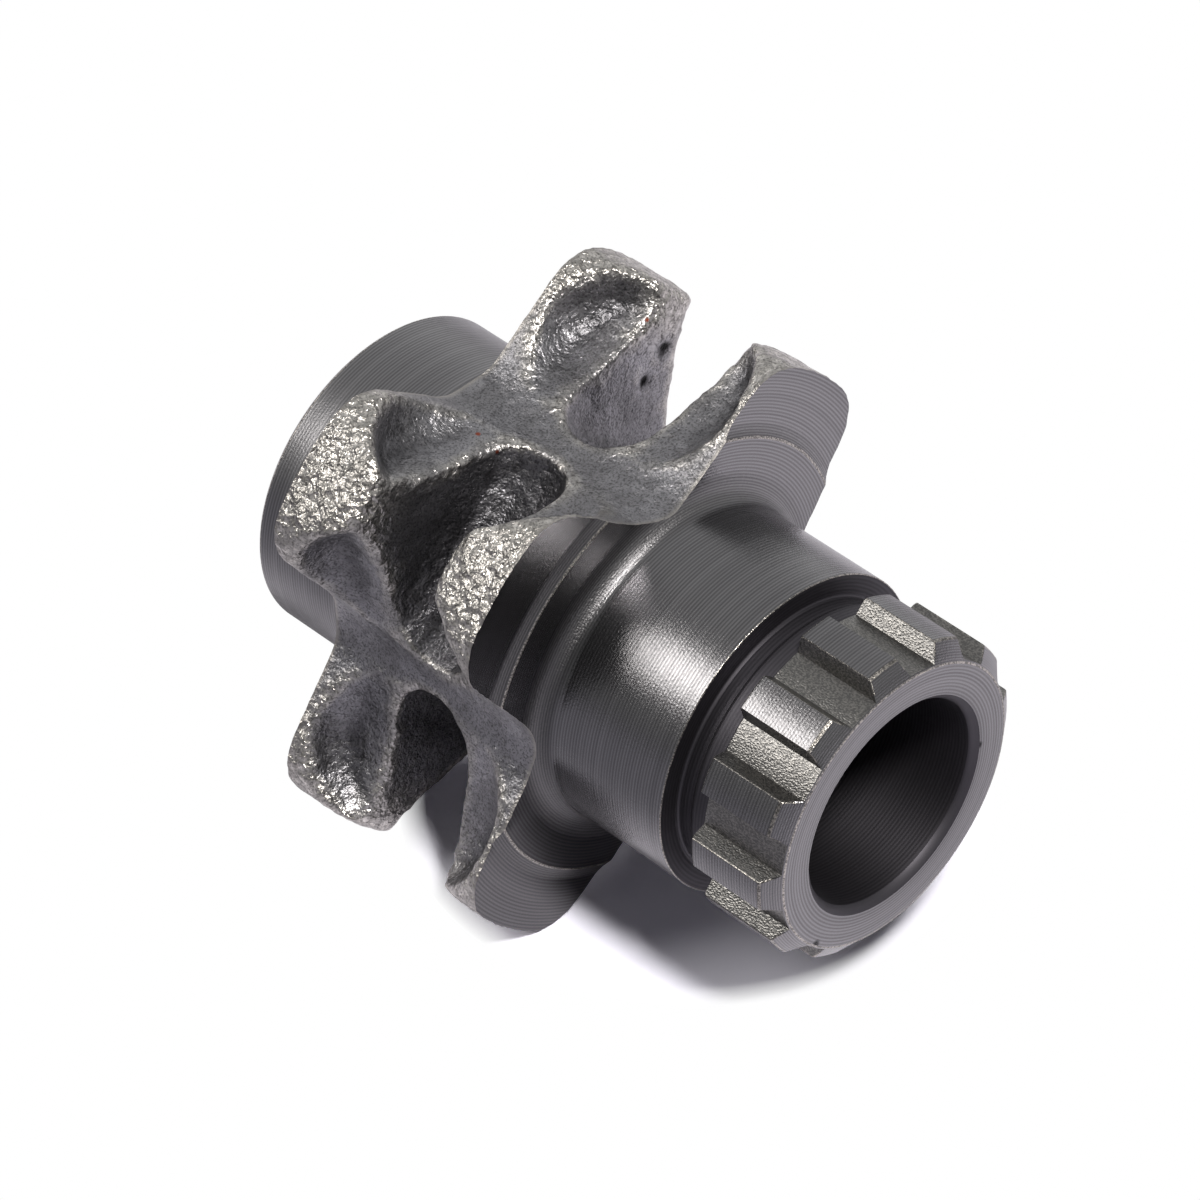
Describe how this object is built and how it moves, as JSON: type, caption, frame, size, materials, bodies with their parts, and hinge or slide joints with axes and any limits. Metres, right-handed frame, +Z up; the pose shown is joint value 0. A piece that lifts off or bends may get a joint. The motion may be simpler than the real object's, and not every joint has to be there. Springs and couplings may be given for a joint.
{
  "type": "hoist load sheave",
  "caption": "Forged steel chain wheel with lobed link pockets and upright-link slots on a turned hollow shaft with bearing journals and an outside spline.",
  "frame": {"origin": "on the shaft axis, half way between the outer faces of the chain wheel", "axes": "+Y along the shaft from the splined end to the plain end, +Z up through the middle of one link pocket, the part standing on the tips of its two lower lobe pairs"},
  "size_m": [0.0528, 0.0703, 0.0528],
  "materials": {
    "forged_steel": "shot-blasted forged skin on the lobed wheel, fine turned finish on the shaft, spline and faces"
  },
  "bodies": {
    "root": {"load_sheave": "forged_steel"}
  },
  "joints": []
}
